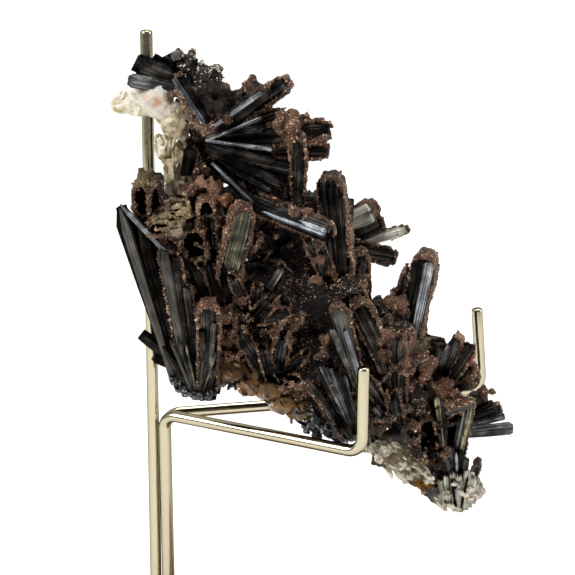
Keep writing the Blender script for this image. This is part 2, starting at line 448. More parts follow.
# Stains on the crust and the rock: a place, a radius in mm and a colour
STAINS = [
    ((386, 452, -11), 4.6, "#8f8266"), ((408, 472, -9), 4.4, "#b0a27c"),
    ((398, 438, -11), 2.6, "#575056"), ((426, 487, -7), 2.6, "#b58412"),
    ((440, 500, -7), 3.4, "#85857e"), ((462, 486, -7), 5.0, "#c3c6c4"), ((480, 478, -6), 2.6, "#d8cbb0"),
    ((477, 461, -8), 0.9, "#3a1a15"), ((370, 444, -11), 3.0, "#8d8473"),
    ((245, 372, -8), 4.0, "#5c4d36"), ((282, 402, -9), 3.4, "#7a4a2a"),
    ((310, 424, -12), 4.5, "#2b2929"), ((338, 432, -13), 4.0, "#252527"),
    ((420, 342, -6), 2.4, "#b3a888"), ((459, 336, -6), 2.0, "#a08060"), ((466, 352, -6), 2.8, "#8f4626"),
    ((124, 200, -9), 1.6, "#b59a3a"), ((145, 180, -10.5), 2.4, "#8f7a55"),
    ((180, 205, -12.4), 2.4, "#c2ae86"), ((191, 211, -12), 1.6, "#b5a076"),
    ((163, 221, -13.2), 2.2, "#b8a47e"), ((176, 228, -12.8), 1.8, "#c4b596"),
    ((208, 184, -12), 2.2, "#96705a"), ((224, 198, -12), 2.2, "#9c6a48"),
    ((232, 191, -7), 3.0, "#140b08"), ((200, 276, -9), 4.2, "#2c1b12"), ((216, 300, -9), 3.4, "#33211a"),
    ((200, 130, -6), 3.0, "#8a7a5e"), ((282, 250, -5), 5.0, "#060403"), ((262, 234, -6), 3.6, "#070504"),
    ((424, 428, -5), 3.0, "#090605"), ((172, 56, -4), 2.0, "#6a6a63"), ((202, 70, -5.5), 3.6, "#1b1614"),
    ((188, 63, -5), 3.0, "#1f1c1b"), ((210, 102, -6.6), 3.6, "#0e0906"),
    ((226, 104, -6.6), 3.2, "#120b07"), ((203, 88, -6), 3.0, "#0e0906"), ((216, 86, -6), 2.6, "#1c120c"),
    ((186, 112, -7), 2.6, "#150e09"), ((240, 96, -6.6), 2.4, "#1d130d"), ((214, 68, -5), 1.4, "#a39a86"),
    ((190, 74, -6), 1.6, "#8d8471"), ((160, 355, -4), 2.2, "#c9c3a4"), ((368, 210, 1), 2.0, "#a58a6a"),
    ((356, 238, -4), 2.0, "#a98f6c"), ((182, 398, -7), 2.4, "#a89a6c"), ((225, 345, -9), 2.6, "#8f6450"),
    ((315, 262, -9), 2.4, "#8f6450"), ((376, 330, -10), 2.0, "#9a7260"),
    ((404, 342, -9), 3.2, "#7d6152"), ((430, 372, -8), 3.0, "#8a6354"), ((440, 385, -7), 3.0, "#85563c"),
]


def length(name, description, millimetres):
    """A setting for a length, in metres."""
    return FloatProperty(name=name, description=description, default=millimetres * MM, min=0,
                         unit="LENGTH", precision=5)


def amount(name, description, default):
    """A setting for how many there are of something."""
    return IntProperty(name=name, description=description, default=default, min=0)


def brightness(name, description, default, unit="NONE"):
    """A setting for how strong a light is."""
    return FloatProperty(name=name, description=description, default=default, min=0, unit=unit)


def tint(name, description, default):
    """A setting for a colour."""
    return FloatVectorProperty(name=name, description=description, default=default,
                               subtype="COLOR", min=0, max=1)


class StandSizes(bpy.types.PropertyGroup):
    wire_radius: length("Wire radius", "Half the thickness of the stand's wire", 1.0)
    bend_radius: length("Bend radius", "How far from its corner each bend begins", 2.6)
    corner_radius: length("Base corner radius", "Radius of the base's upright corners", 5.0)
    edge_radius: length("Base edge radius", "How far the base's edges are eased", 1.2)
    wire_color: tint("Wire colour", "Pale champagne plating", (0.58, 0.52, 0.37))
    wood_color: tint("Wood colour", "Oiled hardwood of the base", (0.23, 0.10, 0.045))


class SpecimenSizes(bpy.types.PropertyGroup):
    edge_bevel: length("Crystal edge", "Bevel along the edges of the blades", 0.04)
    crust_voxel: length("Crust fineness", "Voxel size of the crust and the rock", 0.26)
    crust_relief: length("Crust relief", "How far the crust's knobs stand up", 0.42)
    grain_size: length("Grain size", "Length of one crystal of the druse", 0.47)
    crust_grains: amount("Grains on the crust", "Druse crystals on the blades' crust", 98000)
    rock_grains: amount("Grains on the rock", "Druse crystals on the rock", 38000)
    glints: amount("Clear grains", "Clear crystals on the crust, and as many on the rock", 700)
    crown_glints: amount("Clear grains on the crown", "Further clear crystals on the crown", 420)
    baryte_chips: amount("Chips on a baryte lump", "Cleaved fragments round each lump", 8)
    sprouts: amount("Small blades", "Small blades that grow out of the rock's front", 340)


class StudioSettings(bpy.types.PropertyGroup):
    world_light: brightness("Room light", "Brightness of the white wall behind", 0.75)
    front_light: brightness("Front light", "Brightness of the room behind the camera", 0.12)
    key_power: brightness("Key light", "Softbox at the upper left", 34, "POWER")
    top_power: brightness("Top light", "Softbox high over the floor", 26, "POWER")
    rim_power: brightness("Rim light", "Softbox on the right", 16, "POWER")


def linear(hex_color):
    """An sRGB hex colour as linear red, green, blue and alpha."""
    channels = [int(hex_color[i:i + 2], 16) / 255 for i in (1, 3, 5)]
    return tuple(c / 12.92 if c <= 0.04045 else ((c + 0.055) / 1.055) ** 2.4 for c in channels) + (1,)


def add_node(tree, kind, inputs=None, **settings):
    """Add a shader node, set its options, and fill or link its inputs."""
    node = tree.nodes.new(kind)
    for key, value in settings.items():
        setattr(node, key, value)
    for key, value in (inputs or {}).items():
        if isinstance(value, bpy.types.NodeSocket):
            tree.links.new(value, node.inputs[key])
        else:
            node.inputs[key].default_value = value
    return node


def new_material(name):
    """A material with an empty node tree and its output."""
    material = bpy.data.materials.new(name)
    material.use_nodes = True
    material.node_tree.nodes.clear()
    return material, material.node_tree


def ramp(tree, factor, stops):
    """A colour ramp through hex colours at places from 0 to 1."""
    node = add_node(tree, "ShaderNodeValToRGB", {"Fac": factor})
    while len(node.color_ramp.elements) < len(stops):
        node.color_ramp.elements.new(0.5)
    for element, (place, hex_color) in zip(node.color_ramp.elements, stops):
        element.position = place
        element.color = linear(hex_color)
    return node.outputs["Color"]


def own_place(tree):
    """Where each point is on the object, in metres."""
    return add_node(tree, "ShaderNodeTexCoord").outputs["Object"]


def scaled(tree, vector, scale):
    """A vector scaled along its three axes."""
    return add_node(tree, "ShaderNodeMapping", {"Vector": vector, "Scale": scale}).outputs["Vector"]


def noise(tree, vector, scale, detail, **more):
    """Noise over this vector, as values round a half."""
    inputs = {"Vector": vector, "Scale": scale, "Detail": detail, **more}
    return add_node(tree, "ShaderNodeTexNoise", inputs).outputs["Fac"]


def total(tree, first, second):
    """The sum of two values."""
    return add_node(tree, "ShaderNodeMath", {0: first, 1: second}, operation="ADD").outputs["Value"]


def part_of(tree, value, share):
    """A share of a value."""
    inputs = {0: value, 1: share}
    return add_node(tree, "ShaderNodeMath", inputs, operation="MULTIPLY").outputs["Value"]


def stretched(tree, value, lowest, highest, ends):
    """A value between lowest and highest, stretched over the range between the two ends."""
    return add_node(tree, "ShaderNodeMapRange", {
        "Value": value, "From Min": lowest, "From Max": highest,
        "To Min": ends[0], "To Max": ends[1]}).outputs["Result"]


def mixed(tree, factor, first, second, blend="MIX"):
    """Two colours mixed."""
    return add_node(tree, "ShaderNodeMix", {"Factor": factor, "A": first, "B": second},
                    data_type="RGBA", blend_type=blend).outputs["Result"]


def raised(tree, height, strength, depth):
    """The surface's direction where a height stands out by up to this depth in mm."""
    return add_node(tree, "ShaderNodeBump", {
        "Height": height, "Strength": strength, "Distance": depth * MM}).outputs["Normal"]


def surface(tree, inputs):
    """Close a material with the shader that has these inputs."""
    shader = add_node(tree, "ShaderNodeBsdfPrincipled", inputs)
    add_node(tree, "ShaderNodeOutputMaterial", {"Surface": shader.outputs["BSDF"]})


def stibnite_material(name, dark, middle, light, rough):
    """Stibnite: a soft metallic sulphide, grooved along each blade and tarnished in patches."""
    material, tree = new_material(name)
    along = add_node(tree, "ShaderNodeUVMap", uv_map="along").outputs["UV"]
    # The map counts millimetres across and along the blade: laths are half a millimetre wide
    # and the growth grooves on them a tenth
    lath = noise(tree, scaled(tree, along, (2.2, 0.05, 1)), 1.0, 2)
    groove = noise(tree, scaled(tree, along, (8, 0.12, 1)), 1.0, 3, Roughness=0.6)
    # Tarnish comes in patches of two or three millimetres
    patch = noise(tree, own_place(tree), 420, 3)
    streak = total(tree, lath, groove)
    third = part_of(tree, total(tree, streak, patch), 1 / 3)
    surface(tree, {
        "Base Color": ramp(tree, third, [(0.4, dark), (0.51, middle), (0.61, light)]),
        "Metallic": 1.0, "Roughness": stretched(tree, patch, 0.35, 0.7, rough),
        "Specular Tint": (0.35, 0.36, 0.38, 1), "Normal": raised(tree, streak, 0.7, 0.16)})
    return material


def druse_material(name, stops, patch_mm, rough):
    """Druse: sugary crystals of iron-stained carbonate and baryte, dull but full of glints."""
    material, tree = new_material(name)
    place = own_place(tree)
    patch = noise(tree, place, 1 / (patch_mm * MM), 4, Roughness=0.6)
    # Each little face is about a third of a millimetre
    fine = noise(tree, place, 2800, 2)
    shade = add_node(tree, "ShaderNodeAttribute", attribute_name="shade").outputs["Fac"]
    half = part_of(tree, total(tree, patch, shade), 0.5)
    # The painted stain keeps the light and dark of the grains
    stain = add_node(tree, "ShaderNodeAttribute", attribute_name="stain")
    depth = stretched(tree, half, 0.3, 0.65, (0.35, 1.3))
    stained = mixed(tree, 1.0, stain.outputs["Color"], depth, "MULTIPLY")
    surface(tree, {
        "Base Color": mixed(tree, stain.outputs["Alpha"], ramp(tree, half, stops), stained),
        "Roughness": stretched(tree, fine, 0.35, 0.65, rough), "Specular IOR Level": 0.35,
        "Normal": raised(tree, fine, 0.5, 0.1)})
    return material


def baryte_material(name, stops, patch_mm, clear, glow):
    """Baryte: heavy glassy sulphate, cleaved, cloudy, and stained along its edges."""
    material, tree = new_material(name)
    place = own_place(tree)
    cloud = noise(tree, place, 1 / (patch_mm * MM), 5, Roughness=0.6)
    # Cleavage cracks are about a millimetre apart
    crack = add_node(tree, "ShaderNodeTexVoronoi", {"Vector": place, "Scale": 900},
                     feature="DISTANCE_TO_EDGE").outputs["Distance"]
    surface(tree, {
        "Base Color": ramp(tree, cloud, stops), "Roughness": 0.32, "IOR": 1.64,
        "Transmission Weight": clear, "Subsurface Weight": glow,
        "Subsurface Radius": (1.2, 0.8, 0.5), "Subsurface Scale": 1.5 * MM,
        "Normal": raised(tree, crack, 0.35, 0.15)})
    return material


def wire_material(color):
    """Plated wire: drawn, with faint marks and soft studio reflections."""
    material, tree = new_material("champagne_plated_wire")
    # Marks a millimetre or so long, coarser than real so that they show
    marks = noise(tree, own_place(tree), 700, 3)
    # Plating looks deeper where it curves away from the eye
    edge = add_node(tree, "ShaderNodeLayerWeight", {"Blend": 0.53}).outputs["Facing"]
    deep = tuple(channel * 0.3 for channel in color) + (1,)
    surface(tree, {
        "Base Color": mixed(tree, edge, (*color, 1), deep), "Metallic": 1.0,
        "Roughness": stretched(tree, marks, 0.3, 0.7, (0.1, 0.22)),
        "Specular Tint": (0.45, 0.41, 0.3, 1), "Normal": raised(tree, marks, 0.08, 0.1)})
    return material


def wood_material(color):
    """Oiled hardwood: long pores and broad growth bands that run along the block."""
    material, tree = new_material("oiled_hardwood")
    along = scaled(tree, own_place(tree), (0.09, 1, 1))
    bands = noise(tree, along, 260, 6, Distortion=0.6)
    pores = noise(tree, along, 2600, 2)
    deep = tuple(channel * 0.45 for channel in color) + (1,)
    surface(tree, {
        "Base Color": mixed(tree, bands, deep, (*color, 1)), "Roughness": 0.42,
        "Normal": raised(tree, pores, 0.2, 0.1)})
    return material


def studio_material():
    """Matt white studio paper."""
    material, tree = new_material("white_studio_paper")
    fibre = noise(tree, own_place(tree), 400, 2)
    surface(tree, {
        "Base Color": ramp(tree, fibre, [(0.3, "#f6f5f3"), (0.7, "#fbfaf8")]), "Roughness": 0.9})
    return material


# Every finish of the specimen: its maker and what the maker needs. Stibnite has its dark, middle
# and light tone and its roughness; the others have colours from low to high and a patch size.
FINISHES = {
    # Blades as they grew, lead grey to black with lighter ridges
    "grooved_stibnite": (stibnite_material, "#0c0b0b", "#232120", "#5f5a55", (0.16, 0.4)),
    # Blades that turn away from the light, almost black
    "black_stibnite": (stibnite_material, "#060505", "#0f0d0c", "#2b2725", (0.2, 0.4)),
    # Fresh faces that shine more than the rest
    "bright_stibnite": (stibnite_material, "#201f1f", "#4c4b4b", "#a3a3a1", (0.14, 0.34)),
    # An olive and straw-coloured tarnish
    "tarnished_stibnite": (stibnite_material, "#191a17", "#4b4b41", "#b7ab86", (0.16, 0.34)),
    # Worn faces, an even soft grey
    "satin_stibnite": (stibnite_material, "#34322f", "#4d4a46", "#6f6d69", (0.3, 0.5)),
    # Narrow faces that throw the softbox back, bluish silver
    "silver_stibnite": (stibnite_material, "#3b3c40", "#72757b", "#c6cacc", (0.18, 0.36)),
    # Felted fine needles, pale grey
    "fibrous_stibnite": (stibnite_material, "#6a695f", "#b0afa1", "#ebe9de", (0.35, 0.55)),
    # The inside of an open cast, which swallows the light
    "cast_floor": (stibnite_material, "#030202", "#070504", "#120c08", (0.6, 0.8)),
    # The reddish-brown sugary coat with its pale grains
    "brown_druse": (druse_material, [
        (0.27, "#150b07"), (0.39, "#3c2417"), (0.52, "#785641"), (0.66, "#cfb08e")],
        3.0, (0.25, 0.75)),
    # The plate between the crystals, dull and black-brown
    "dark_rock": (druse_material, [
        (0.25, "#060403"), (0.42, "#110a07"), (0.56, "#231710"), (0.75, "#4c3c2f")],
        3.0, (0.6, 0.95)),
    # Cream baryte clouded with straw and pink, a little see-through
    "pale_baryte": (baryte_material, [
        (0.3, "#a99a5e"), (0.4, "#e3d6b4"), (0.5, "#faf5ea"), (0.6, "#f5ddc8"), (0.7, "#e3ab88")],
        2.2, 0.2, 0.08),
    # Tan glassy splinters, partly see-through
    "tan_baryte": (baryte_material, [
        (0.32, "#624d2f"), (0.43, "#a58e64"), (0.53, "#dfcea6"), (0.66, "#faf5e7")],
        1.8, 0.35, 0.05),
    # Olive and honey-brown baryte, glassy
    "brown_baryte": (baryte_material, [
        (0.3, "#2f2417"), (0.42, "#5f452b"), (0.52, "#86683f"), (0.62, "#9c6a3c"), (0.72, "#cdbf95")],
        1.6, 0.3, 0.05),
    # Pale broken rock, grey in its cracks
    "ridge_rock": (baryte_material, [
        (0.32, "#463c38"), (0.43, "#9c907b"), (0.52, "#dad0b8"), (0.64, "#f5f0e3")],
        1.4, 0.1, 0.05),
    # Black glassy crystals with white flecks
    "black_glaze": (baryte_material, [
        (0.38, "#080808"), (0.5, "#1c1c1e"), (0.59, "#4c4e50"), (0.67, "#d8d8d4")],
        0.7, 0.0, 0.0),
}


def finish(name):
    """The material of this name, made on its first use."""
    if name not in bpy.data.materials:
        maker, *looks = FINISHES[name]
        maker(name, *looks)
    return bpy.data.materials[name]


def clear_selection():
    """Leave nothing selected, so that an operator acts only on what comes next."""
    if bpy.context.object and bpy.context.object.mode != "OBJECT":
        bpy.ops.object.mode_set(mode="OBJECT")
    bpy.ops.object.select_all(action="DESELECT")


def select_only(objects):
    """Select these objects and make the first one active."""
    clear_selection()
    for one in objects:
        one.select_set(True)
    bpy.context.view_layer.objects.active = objects[0]


def join_all(objects, name):
    """Join objects into one, with its place in its mesh."""
    select_only(objects)
    if len(objects) > 1:
        bpy.ops.object.join()
    joined = bpy.context.view_layer.objects.active
    joined.name = name
    joined.data.name = name
    return joined


def added(primitive, **settings):
    """A new object made from one of Blender's mesh primitives."""
    clear_selection()
    getattr(bpy.ops.mesh, f"primitive_{primitive}_add")(**settings)
    return bpy.context.active_object


def new_object(name, mesh):
    """A new object in the scene that holds this mesh."""
    obj = bpy.data.objects.new(name, mesh)
    bpy.context.collection.objects.link(obj)
    return obj


def dress(obj, material):
    """Give an object this one material."""
    obj.data.materials.clear()
    obj.data.materials.append(material)


def apply_modifier(obj, kind, **settings):
    """Add one modifier with its settings and apply it."""
    select_only([obj])
    modifier = obj.modifiers.new(kind.title(), kind)
    for key, value in settings.items():
        setattr(modifier, key, value)
    bpy.ops.object.modifier_apply(modifier=modifier.name)


def pick(obj, kind, test):
    """In edit mode, select only the vertices, edges or faces that pass the test."""
    bpy.ops.mesh.select_all(action="DESELECT")
    bpy.ops.mesh.select_mode(type={"verts": "VERT", "edges": "EDGE", "faces": "FACE"}[kind])
    mesh = bmesh.from_edit_mesh(obj.data)
    for element in getattr(mesh, kind):
        if test(element):
            element.select_set(True)
    mesh.select_flush_mode()
    bmesh.update_edit_mesh(obj.data)


def runs_along(edge, axis):
    """Whether an edge runs along one of the three axes."""
    way = edge.verts[0].co - edge.verts[1].co
    return abs(way[axis]) > 0.99 * way.length


# Each kind of blade: its strips across, layers deep and lengths along, its groove depth, and its
# tip. Sizes are shares of the blade's own. up is how far the tip runs on past the straight part,
# shrink how much of the width and thickness is left there, and jag how far its laths break apart.
BLADE_KINDS = {
    "step": {"strips": 9, "layers": 4, "lengths": 3, "groove": 0.07,
        "up": 0.3, "shrink": (0.86, 0.8), "jag": 0.55},
    "chisel": {"strips": 8, "layers": 3, "lengths": 3, "groove": 0.06,
        "up": 0.8, "shrink": (0.6, 0.45), "jag": 0.2},
    "point": {"strips": 6, "layers": 3, "lengths": 3, "groove": 0.07,
        "up": 2.0, "shrink": (0.35, 0.3), "jag": 0.3},
    "blunt": {"strips": 9, "layers": 4, "lengths": 3, "groove": 0.055,
        "up": 0.22, "shrink": (0.74, 0.8), "jag": 0.1},
    "plates": {"strips": 4, "layers": 7, "lengths": 3, "groove": 0.08,
        "up": 0.15, "shrink": (0.94, 0.96), "jag": 0.6},
    "small": {"strips": 4, "layers": 2, "lengths": 2, "groove": 0.1,
        "up": 0.35, "shrink": (0.8, 0.75), "jag": 0.5},
}
# How many masters each kind has, each broken in its own way
VARIANTS = 3
# The pieces that the crust is grown in, and how many lumps make up one of its knobs
CRUST_PARTS = ("left_crust", "middle_crust", "right_crust")
LUMPS_IN_A_KNOB = 5
# How far the rims of an open cast stand up, and about how long one length of a rim is
CAST_WALL = 0.9 * MM
RIM_LENGTH = 1.1 * MM


def blade_master(kind, seed):
    """A blade one wide, one thick and one long, with grooved faces and a broken tip above 1."""
    spec = BLADE_KINDS[kind]
    rng = np.random.default_rng(seed)
    bar = added("cube", size=1)
    bar.name = f"master_{kind}_{seed}"
    bpy.ops.object.mode_set(mode="EDIT")
    bpy.ops.transform.translate(value=(0, 0, 0.5))
    for axis, parts in enumerate(("strips", "layers", "lengths")):
        pick(bar, "edges", lambda edge: runs_along(edge, axis))
        bpy.ops.mesh.subdivide(number_cuts=spec[parts] - 1)
    # The four long corners are cut back, as on the real prism
    for side in (-0.5, 0.5):
        pick(bar, "verts", lambda v: abs(v.co.x - side) < NEAR and abs(abs(v.co.y) - 0.5) < NEAR)
        bpy.ops.transform.resize(value=(0.93, 0.6, 1), center_override=(0, 0, 0))
    # Each line of vertices moves in or out a little, which leaves grooves along the faces
    for i in range(1, spec["strips"]):
        line = -0.5 + i / spec["strips"]
        for face in (-0.5, 0.5):
            pick(bar, "verts", lambda v: abs(v.co.x - line) < NEAR and abs(v.co.y - face) < NEAR)
            sink = rng.uniform(-0.2, 1) * spec["groove"] * (-1 if face > 0 else 1)
            bpy.ops.transform.translate(value=(0, sink * (1 if i % 2 else -0.3), 0))
    for j in range(1, spec["layers"]):
        line = -0.5 + j / spec["layers"]
        for side in (-0.5, 0.5):
            pick(bar, "verts", lambda v: abs(v.co.y - line) < NEAR and abs(v.co.x - side) < NEAR)
            sink = rng.uniform(-0.2, 1) * spec["groove"] * (-1 if side > 0 else 1)
            bpy.ops.transform.translate(value=(sink, 0, 0))
    # The tip: the whole top rises and narrows, then each lath of it breaks at its own height
    pick(bar, "faces", lambda f: f.normal.z > 0.9)
    lift = {"value": (0, 0, spec["up"])}
    bpy.ops.mesh.extrude_region_move(TRANSFORM_OT_translate=lift)
    bpy.ops.transform.resize(value=(*spec["shrink"], 1), center_override=(0, 0, 1))
    top = 1 + spec["up"]
    count = spec["layers"] if kind == "plates" else spec["strips"]
    axis = 1 if kind == "plates" else 0
    reach = 0.5 * spec["shrink"][axis]
    for i in range(count):
        low = -reach + 2 * reach * i / count
        high = low + 2 * reach / count
        pick(bar, "faces", lambda f: f.normal.z > 0.9 and abs(f.calc_center_median().z - top) < 1e-3
             and low < f.calc_center_median()[axis] < high)
        height = rng.uniform(0.05, 1) * spec["jag"]
        bpy.ops.mesh.extrude_region_move(TRANSFORM_OT_translate={"value": (0, 0, height)})
    bpy.ops.object.mode_set(mode="OBJECT")
    bar.hide_render = True
    return bar


def blade_axes(spec):
    """A blade's direction, its side and its broad face, as unit vectors."""
    axis = (spec["tip"] - spec["foot"]).normalized()
    viewer = Vector((0, -math.cos(VIEW_PITCH), math.sin(VIEW_PITCH)))
    face = (viewer - axis * viewer.dot(axis)).normalized()
    face.rotate(Matrix.Rotation(spec["turn"], 3, axis))
    return axis, axis.cross(face), face


def coordinates(mesh):
    """A mesh's vertices as an array."""
    flat = np.empty(len(mesh.vertices) * 3)
    mesh.vertices.foreach_get("co", flat)
    return flat.reshape(-1, 3)


def place_blade(master, spec, name, rng):
    """A copy of a master with its own mesh, at its real size and place, mapped in mm."""
    mesh = master.data.copy()
    shape = coordinates(mesh)
    axis, side, face = (np.array(v) for v in blade_axes(spec))
    long = (spec["tip"] - spec["foot"]).length
    wide, thick = spec["wide"], spec["thick"]
    top = max(shape[:, 2].max() - 1, 0)
    body = max(long - top * wide, long * 0.5)
    beyond = (long - body) / max(top, 1e-6)
    up = np.where(shape[:, 2] > 1, body + (shape[:, 2] - 1) * beyond, shape[:, 2] * body)
    # A blade is a little narrower at its foot, where it squeezes between its neighbours
    swell = np.where(shape[:, 2] <= 1, 0.86 + 0.14 * np.clip(shape[:, 2] * 1.6, 0, 1), 1.0)
    placed = (np.array(spec["foot"]) + np.outer(up, axis)
              + np.outer(shape[:, 0] * wide * swell, side) + np.outer(shape[:, 1] * thick * swell, face))
    corner = np.empty(len(mesh.loops), dtype=np.int32)
    mesh.loops.foreach_get("vertex_index", corner)
    normals = np.empty(len(mesh.polygons) * 3)
    mesh.polygons.foreach_get("normal", normals)
    sizes = np.empty(len(mesh.polygons), dtype=np.int32)
    mesh.polygons.foreach_get("loop_total", sizes)
    normal = np.repeat(normals.reshape(-1, 3), sizes, axis=0)
    across = np.where(np.abs(normal[:, 0]) > np.abs(normal[:, 1]),
                      shape[corner, 1] * thick, shape[corner, 0] * wide)
    chart = np.column_stack((across / MM + rng.uniform(0, 90), up[corner] / MM + rng.uniform(0, 90)))
    mesh.uv_layers.new(name="along")
    mesh.uv_layers["along"].data.foreach_set("uv", chart.ravel())
    mesh.vertices.foreach_set("co", placed.ravel())
    copy = new_object(name, mesh)
    dress(copy, finish(spec["finish"]))
    return copy


def adopt(piece, slot, *nodes):
    """Tie a finished piece to the frame: its body, its slot and the solids it stands for."""
    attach(piece, "root")
    if nodes:
        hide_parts(*nodes)


def masters(kinds):
    """The master blades of these kinds, made once."""
    return {kind: [blade_master(kind, 11 + 7 * n) for n in range(VARIANTS)] for kind in kinds}


def remove(objects):
    """Delete helper objects and their meshes."""
    for one in objects:
        mesh = one.data
        bpy.data.objects.remove(one)
        bpy.data.meshes.remove(mesh)


def copies_of(master, places, name):
    """Copies of one master, each with its own mesh and its place in that mesh."""
    made = []
    for i, place in enumerate(places):
        mesh = master.data.copy()
        mesh.transform(place)
        made.append(new_object(f"{name}_{i}", mesh))
    return made


def crust_places(spec, rng):
    """Where bars of crust lie on one blade: its side rims, an arch over the tip and a back."""
    axis, side, face = blade_axes(spec)
    # The knobs that are pushed out later make up the rest of the coat
    coat, half, deep = spec["crust"] * 0.8, spec["wide"] / 2, spec["thick"] / 2
    long = (spec["tip"] - spec["foot"]).length + spec["over"]
    hollow = spec["hollow"]
    proud = deep + (CAST_WALL if hollow else min(coat * 0.2, 0.12 * MM))
    back = -deep - coat * 0.7
    start = 0 if hollow else long * 0.12
    boxes = [((-half * 0.85, back, start), (half * 0.85, -deep * 0.75, long - half * 0.5))]
    # Each rim is laid in short lengths that differ in width, so that its edge wanders, and
    # that draw in near the tip, so that the crust ends round
    lengths = max(3, round((long - start) / RIM_LENGTH))
    step = (long - start) / lengths
    for way, share in zip((-1, 1), spec["rims"]):
        for i in range(lengths if share > 0 else 0):
            low = start + i * step - rng.uniform(0, 0.3) * step
            past = np.clip((low + step - long + half) / half, 0, 1)
            draw = 1 - 0.5 * past * past
            outer = way * (half * draw + coat * share * rng.uniform(0.2, 1.0))
            inner = way * half * draw * rng.uniform(0.78, 0.96)
            boxes.append(((min(inner, outer), back, low),
                          (max(inner, outer), proud * rng.uniform(0.75, 1.08), low + step * 1.3)))
    ends = []
    if spec["over"] > 0:
        ends = [(-0.8, -0.35, -0.9), (-0.5, 0.5, 0.2), (0.35, 0.8, -0.8)]
    for low, high, rise in ends:
        top = long + coat * (rise + rng.uniform(-0.1, 0.3))
        boxes.append(((half * low, back, long - max(spec["over"], coat)), (half * high, proud, top)))
    if hollow:
        boxes.append(((-half, back, -coat * 0.5), (half, proud * 0.6, coat * 0.6)))
    turn = Matrix((side, face, axis)).transposed().to_4x4()
    places = []
    for low, high in boxes:
        low, high = Vector(low), Vector(high)
        size = Matrix.Diagonal((*(high - low), 1))
        middle = Matrix.Translation((low + high) / 2)
        places.append(Matrix.Translation(spec["foot"]) @ turn @ middle @ size)
    return places


def stain_colours(points):
    """The stain of each point, as red, green and blue with how strongly it covers."""
    colours = np.zeros((len(points), 4), dtype=np.float32)
    for spot, radius, hex_color in STAINS:
        distance = np.linalg.norm(points - np.array(seen(*spot)), axis=1) / (radius * MM)
        cover = np.clip(1.6 - 1.6 * distance, 0, 0.9)
        stronger = cover > colours[:, 3]
        colours[stronger, :3] = linear(hex_color)[:3]
        colours[stronger, 3] = cover[stronger]
    return colours


def paint(mesh, places, shades):
    """Store each point's stain and its light or dark on the mesh."""
    mesh.attributes.new("shade", "FLOAT", "POINT").data.foreach_set("value", shades.astype(np.float32))
    stain = mesh.attributes.new("stain", "FLOAT_COLOR", "POINT")
    stain.data.foreach_set("color", stain_colours(places).ravel())


def roughen(obj, voxel, relief, scale_mm, level):
    """Fuse an object's parts into one skin and push its surface in and out in knobs."""
    apply_modifier(obj, "REMESH", mode="VOXEL", voxel_size=voxel)
    for share, size in ((1.0, scale_mm), (0.55, scale_mm * 0.45)):
        texture = bpy.data.textures.new("knobs", "CLOUDS")
        texture.noise_scale = size * MM
        texture.noise_depth = 2
        apply_modifier(obj, "DISPLACE", texture=texture, strength=relief * share,
                       mid_level=level, texture_coords="LOCAL")
        bpy.data.textures.remove(texture)
    points = coordinates(obj.data)
    paint(obj.data, points, np.full(len(points), 0.3))


def scatter(obj, count, rng, keep=None):
    """Random points on a mesh's surface with their normals, where keep says so."""
    mesh = obj.data
    mesh.calc_loop_triangles()
    points = coordinates(mesh)
    corners = np.empty(len(mesh.loop_triangles) * 3, dtype=np.int32)
    mesh.loop_triangles.foreach_get("vertices", corners)
    a, b, c = (points[corners.reshape(-1, 3)[:, i]] for i in range(3))
    cross = np.cross(b - a, c - a)
    area = np.linalg.norm(cross, axis=1)
    chosen = rng.choice(len(area), size=count * 4, p=area / area.sum())
    s, t = np.sqrt(rng.random(count * 4)), rng.random(count * 4)
    spots = ((1 - s)[:, None] * a[chosen] + (s * (1 - t))[:, None] * b[chosen]
             + (s * t)[:, None] * c[chosen])
    normals = cross[chosen] / np.maximum(area[chosen], 1e-12)[:, None]
    if keep is not None:
        good = keep(spots, normals)
        spots, normals = spots[good], normals[good]
    return spots[:count], normals[:count]


def scatter_over(names, count, rng, keep=None):
    """Random points over several meshes, shared out by how many faces each has."""
    grounds = [bpy.data.objects[name] for name in names]
    faces = [len(ground.data.polygons) for ground in grounds]
    found = [scatter(ground, round(count * own / sum(faces)), rng, keep)
             for ground, own in zip(grounds, faces)]
    return [np.vstack(parts) for parts in zip(*found)]


def standing_out(spots):
    """How much paler each grain is for standing in front of its neighbours, or darker behind."""
    cells = np.floor(spots[:, (0, 2)] / (1.6 * MM)).astype(np.int64)
    _, cell, filled = np.unique(cells, axis=0, return_inverse=True, return_counts=True)
    cell = cell.ravel()
    mean = np.bincount(cell, weights=spots[:, 1]) / filled
    return np.clip((mean[cell] - spots[:, 1]) / (4 * MM), -0.2, 0.2)


def grain_master():
    """One crystal of the druse: a stubby four-sided point."""
    return added("cone", vertices=4, radius1=0.5, radius2=0, depth=1, end_fill_type="NGON")


